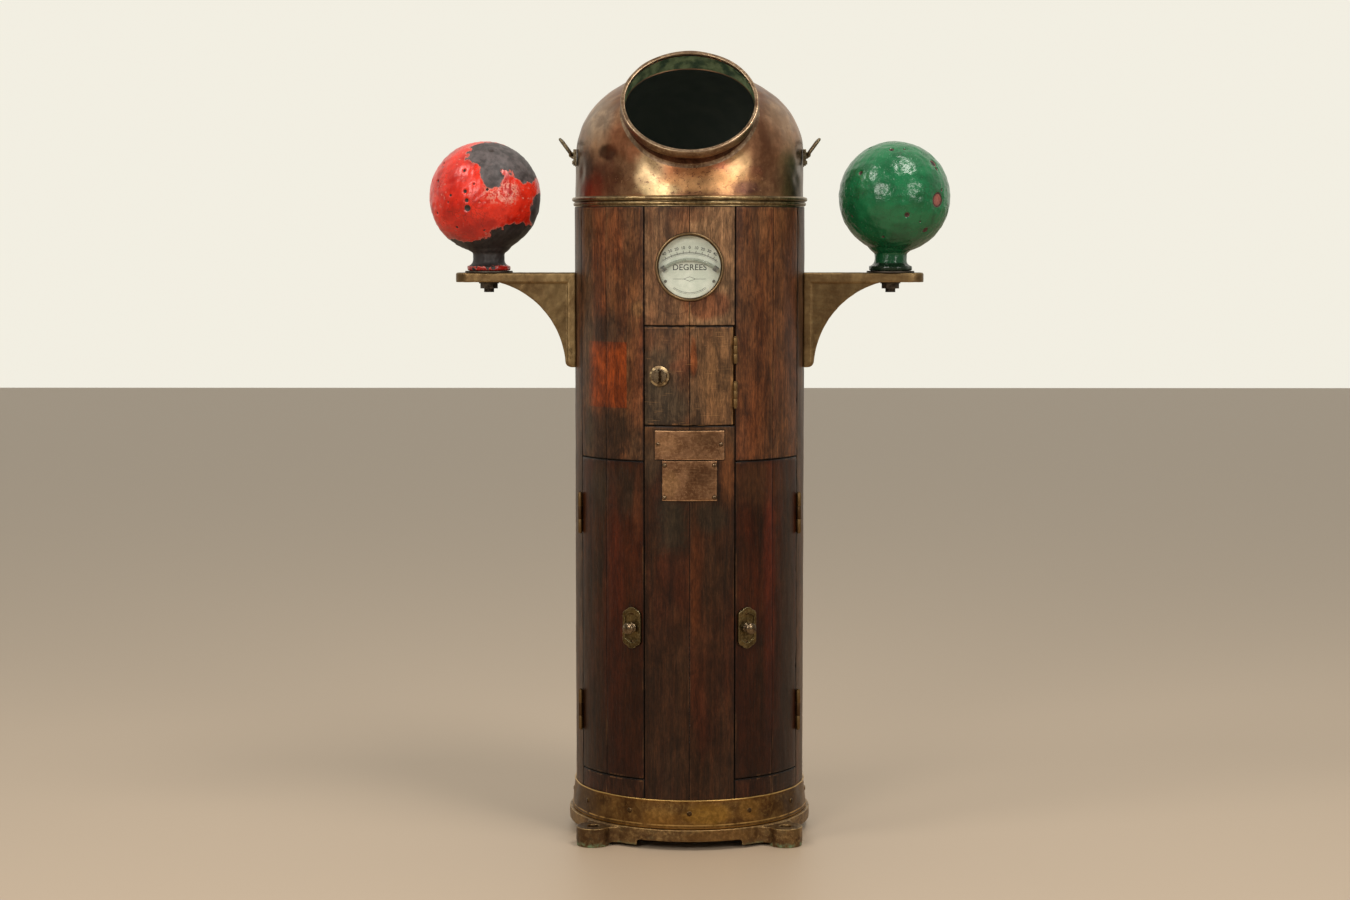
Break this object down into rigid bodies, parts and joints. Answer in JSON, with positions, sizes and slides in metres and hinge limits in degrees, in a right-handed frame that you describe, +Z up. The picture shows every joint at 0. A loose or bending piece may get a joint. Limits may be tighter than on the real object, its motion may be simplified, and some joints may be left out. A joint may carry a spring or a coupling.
{
  "type": "binnacle compass",
  "caption": "Ship's standing binnacle: wooden column on a brass foot, copper hood with tilted window, gimballed compass, clinometer, doors and two iron compensating spheres on brackets.",
  "frame": {"origin": "deck level at the centre of the four deck bolts, on the column axis", "axes": "+Z up the column; the helmsman and the hood window are on the -Y side; +X is the helmsman's right (starboard, green sphere)"},
  "size_m": [0.831, 0.4005, 1.2394],
  "materials": {
    "cast_brass": "dull cast, brown patina",
    "brass": "worn satin, brown patina",
    "brass_fittings": "dull, rubbed bright on the high spots",
    "copper": "copper sheet, brown patina, worn bright",
    "copper_patch": "copper sheet, dull brown",
    "stave_wood": "old varnish, satin",
    "inner_wood": "bare, matt",
    "red_paint": "chipped red gloss paint on iron",
    "green_paint": "chipped green gloss paint on iron",
    "steel": "dull, darkened",
    "magnet_steel": "dull",
    "bucket_brass": "dull",
    "glass": "clear",
    "bubble": "clear",
    "dial": "silvered, off-white",
    "card": "matt"
  },
  "bodies": {
    "stand": {"foot_casting": "cast_brass", "base_band": "brass", "column_screws": "brass_fittings", "back_staves": "stave_wood", "upper_left_staves": "stave_wood", "upper_right_staves": "stave_wood", "centre_top_staves": "stave_wood", "centre_lower_staves": "stave_wood", "door_sills": "stave_wood", "column_boards": "inner_wood", "chamber_board": "inner_wood", "top_ring": "brass", "left_bracket": "cast_brass", "right_bracket": "cast_brass", "bracket_bolts": "steel", "copper_patches": "copper_patch", "patch_rivets": "copper_patch", "clinometer_case": "brass", "clinometer_dial": "dial", "clinometer_vial": "glass", "clinometer_bezel": "brass", "clinometer_glass": "glass", "clinometer_fittings": "brass_fittings", "gimbal_bearings": "brass", "magnet_racks": "inner_wood", "corrector_magnets": "magnet_steel", "heeling_tube": "brass", "fixed_hinge_leaves": "brass_fittings"},
    "hood": {"hood_shell": "copper", "hood_rim": "brass", "window_neck": "copper", "window_bezel": "brass", "window_glass": "glass", "handle_eyes": "brass"},
    "left_bail": {"left_handle": "brass"},
    "right_bail": {"right_handle": "brass"},
    "small_door_body": {"small_door": "stave_wood", "small_door_leaves": "brass_fittings", "small_door_rose": "brass_fittings"},
    "small_latch": {"small_door_knob": "brass_fittings"},
    "left_door_body": {"left_door": "stave_wood", "left_door_leaves": "brass_fittings", "left_catch_plate": "brass_fittings"},
    "left_latch": {"left_catch_knob": "brass_fittings"},
    "right_door_body": {"right_door": "stave_wood", "right_door_leaves": "brass_fittings", "right_catch_plate": "brass_fittings"},
    "right_latch": {"right_catch_knob": "brass_fittings"},
    "left_ball": {"left_sphere": "red_paint", "left_sphere_stud": "steel"},
    "right_ball": {"right_sphere": "green_paint", "right_sphere_stud": "steel"},
    "gimbal": {"gimbal_ring": "brass"},
    "bowl": {"compass_bowl": "brass", "bowl_bezel": "brass", "bowl_glass": "glass"},
    "card": {"compass_card": "card", "card_magnets": "magnet_steel"},
    "bucket": {"heeling_bucket": "bucket_brass"},
    "bubble": {"clinometer_bubble": "bubble"}
  },
  "joints": [
    {"name": "hood_lift", "type": "slide", "parent": "stand", "child": "hood", "axis": [0, 0, 1], "range_m": [0, 0.25]},
    {"name": "left_handle_swing", "type": "hinge", "parent": "hood", "child": "left_bail", "pos_m": [-0.187, 0, 1.079], "axis": [0, 1, 0], "range_deg": [-140, 33]},
    {"name": "right_handle_swing", "type": "hinge", "parent": "hood", "child": "right_bail", "pos_m": [0.187, 0, 1.079], "axis": [0, -1, 0], "range_deg": [-140, 33]},
    {"name": "small_door_swing", "type": "hinge", "parent": "stand", "child": "small_door_body", "pos_m": [0.07017, -0.17366, 0.737], "axis": [0, 0, 1], "range_deg": [0, 120]},
    {"name": "small_knob_turn", "type": "hinge", "parent": "small_door_body", "child": "small_latch", "pos_m": [-0.04564, -0.17774, 0.737], "axis": [-0.2487, -0.9686, 0], "range_deg": [0, 90]},
    {"name": "left_door_swing", "type": "hinge", "parent": "stand", "child": "left_door_body", "pos_m": [-0.17304, -0.07168, 0.356], "axis": [0, 0, -1], "range_deg": [0, 110]},
    {"name": "left_catch_turn", "type": "hinge", "parent": "left_door_body", "child": "left_latch", "pos_m": [-0.08756, -0.16126, 0.3455], "axis": [0.4772, 0.8788, 0], "range_deg": [0, 90]},
    {"name": "right_door_swing", "type": "hinge", "parent": "stand", "child": "right_door_body", "pos_m": [0.17304, -0.07168, 0.356], "axis": [0, 0, 1], "range_deg": [0, 110]},
    {"name": "right_catch_turn", "type": "hinge", "parent": "right_door_body", "child": "right_latch", "pos_m": [0.08756, -0.16126, 0.3455], "axis": [0.4772, -0.8788, 0], "range_deg": [0, 90]},
    {"name": "left_sphere_slide", "type": "slide", "parent": "stand", "child": "left_ball", "axis": [-1, 0, 0], "range_m": [-0.03, 0.02]},
    {"name": "right_sphere_slide", "type": "slide", "parent": "stand", "child": "right_ball", "axis": [1, 0, 0], "range_m": [-0.03, 0.02]},
    {"name": "gimbal_pitch", "type": "hinge", "parent": "stand", "child": "gimbal", "pos_m": [0, 0, 1.012], "axis": [1, 0, 0], "range_deg": [-30, 30]},
    {"name": "bowl_roll", "type": "hinge", "parent": "gimbal", "child": "bowl", "pos_m": [0, 0, 1.012], "axis": [0, 1, 0], "range_deg": [-30, 30]},
    {"name": "card_spin", "type": "hinge", "parent": "bowl", "child": "card", "pos_m": [0, 0, 1.008], "axis": [0, 0, 1], "continuous": true},
    {"name": "bucket_slide", "type": "slide", "parent": "stand", "child": "bucket", "axis": [0, 0, 1], "range_m": [-0.26, 0.1]},
    {"name": "bubble_travel", "type": "hinge", "parent": "stand", "child": "bubble", "pos_m": [0, -0.1776, 0.8497], "axis": [0, 1, 0], "range_deg": [-32, 32], "stiffness_Nm_per_rad": 0.003}
  ]
}
